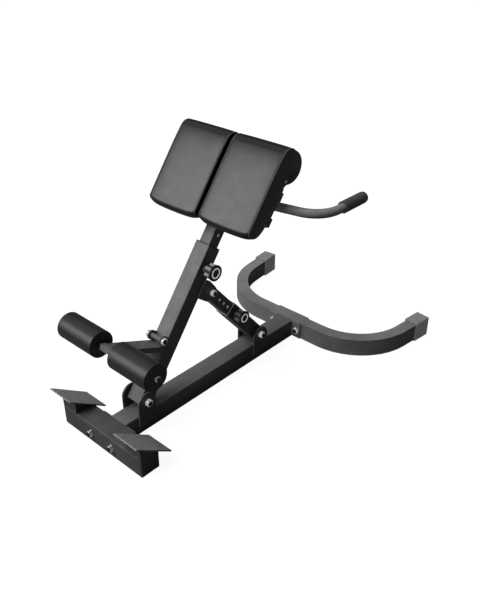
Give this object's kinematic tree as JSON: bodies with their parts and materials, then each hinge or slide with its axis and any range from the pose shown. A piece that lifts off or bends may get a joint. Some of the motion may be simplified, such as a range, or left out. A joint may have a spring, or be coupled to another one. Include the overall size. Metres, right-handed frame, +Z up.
{
  "type": "roman chair",
  "caption": "Hyperextension bench: leaning telescopic post with split hip pad, ankle rollers, sloped foot plates, side handles, adjustable strut and curved rear foot.",
  "frame": {"origin": "on the floor under the middle of the bounding box", "axes": "+Z up, +Y from the foot plates to the curved rear foot, +X to the right of someone facing +Y"},
  "size_m": [0.716, 1.1109, 0.7454],
  "materials": {
    "frame_paint": "satin powder coat",
    "foot_paint": "coarse powder coat",
    "hardware": "zinc plated",
    "plastic": "matt",
    "knob": "semi-gloss",
    "cap_rubber": "matt",
    "grip_rubber": "matt, fine texture",
    "vinyl": "upholstery vinyl, satin",
    "board": "plywood, unpainted",
    "roller": "foam sleeve, smooth skin"
  },
  "bodies": {
    "base": {"crossbar": "frame_paint", "crossbar_plug_l": "plastic", "crossbar_plug_r": "plastic", "crossbar_bolt_l": "hardware", "crossbar_bolt_r": "hardware", "front_flange_l": "frame_paint", "front_flange_r": "frame_paint", "foot_plate_l": "foot_paint", "foot_plate_r": "foot_paint", "foot_riser_l": "foot_paint", "foot_riser_r": "foot_paint", "main_beam": "frame_paint", "front_clevis_l": "frame_paint", "front_clevis_r": "frame_paint", "front_pivot_bolt": "hardware", "strut_ear_l": "frame_paint", "strut_ear_r": "frame_paint", "strut_pivot_bolt": "hardware", "strut_base_plate": "frame_paint", "rear_flange_l": "frame_paint", "rear_flange_r": "frame_paint", "rear_backing_plate": "frame_paint", "rear_bolt_l": "hardware", "rear_bolt_r": "hardware", "u_foot": "frame_paint", "end_cap_l": "cap_rubber", "end_cap_r": "cap_rubber"},
    "post": {"outer_post": "frame_paint", "post_bushing": "plastic", "height_barrel": "frame_paint", "strut_bracket_l": "frame_paint", "strut_bracket_r": "frame_paint", "strut_top_bolt": "hardware", "ankle_arm": "frame_paint", "roller_axle": "hardware", "arm_ear_l": "frame_paint", "arm_ear_r": "frame_paint", "ear_spacer": "frame_paint", "ear_bolt": "hardware"},
    "head": {"inner_post": "frame_paint", "inner_post_cap": "plastic", "pad_bar_lower": "frame_paint", "pad_bar_upper": "frame_paint", "pad_board_l": "board", "pad_board_r": "board", "pad_l": "vinyl", "pad_r": "vinyl", "handle_l": "frame_paint", "handle_r": "frame_paint", "grip_l": "grip_rubber", "grip_r": "grip_rubber"},
    "roller_left": {"ankle_roller_l": "roller", "roller_core_l": "plastic"},
    "roller_right": {"ankle_roller_r": "roller", "roller_core_r": "plastic"},
    "height_pin": {"height_knob": "knob"},
    "strut_outer": {"strut_sleeve": "frame_paint", "strut_barrel": "frame_paint"},
    "strut_inner": {"strut_bar": "frame_paint"},
    "strut_pin": {"strut_knob": "knob"}
  },
  "joints": [
    {"name": "post_tilt", "type": "hinge", "parent": "base", "child": "post", "pos_m": [0, -0.39407, 0.0974], "axis": [1, 0, 0], "range_deg": [-4.1, 4.1]},
    {"name": "height_slide", "type": "slide", "parent": "post", "child": "head", "axis": [0, 0.5996, 0.8003], "range_m": [-0.048, 0.096]},
    {"name": "roller_left_spin", "type": "hinge", "parent": "post", "child": "roller_left", "pos_m": [-0.104, -0.47177, 0.292], "axis": [1, 0, 0], "continuous": true},
    {"name": "roller_right_spin", "type": "hinge", "parent": "post", "child": "roller_right", "pos_m": [0.104, -0.47177, 0.292], "axis": [1, 0, 0], "continuous": true},
    {"name": "height_pin_pull", "type": "slide", "parent": "post", "child": "height_pin", "axis": [1, 0, 0], "range_m": [0, 0.012], "stiffness_N_per_m": 500, "springref_m": -0.004},
    {"name": "strut_swing", "type": "hinge", "parent": "base", "child": "strut_outer", "pos_m": [0, 0.07033, 0.091], "axis": [1, 0, 0], "range_deg": [-0.1, 0.1]},
    {"name": "strut_extend", "type": "slide", "parent": "strut_outer", "child": "strut_inner", "axis": [0, -0.6529, 0.7574], "range_m": [-0.0255, 0.0255]},
    {"name": "strut_pin_pull", "type": "slide", "parent": "strut_outer", "child": "strut_pin", "axis": [1, 0, 0], "range_m": [0, 0.012], "stiffness_N_per_m": 500, "springref_m": -0.004}
  ],
  "couplings": [
    {"joint": "strut_extend", "follows": "post_tilt", "m_per_rad": 0.34758},
    {"joint": "strut_swing", "follows": "post_tilt", "ratio": 0.009195}
  ]
}
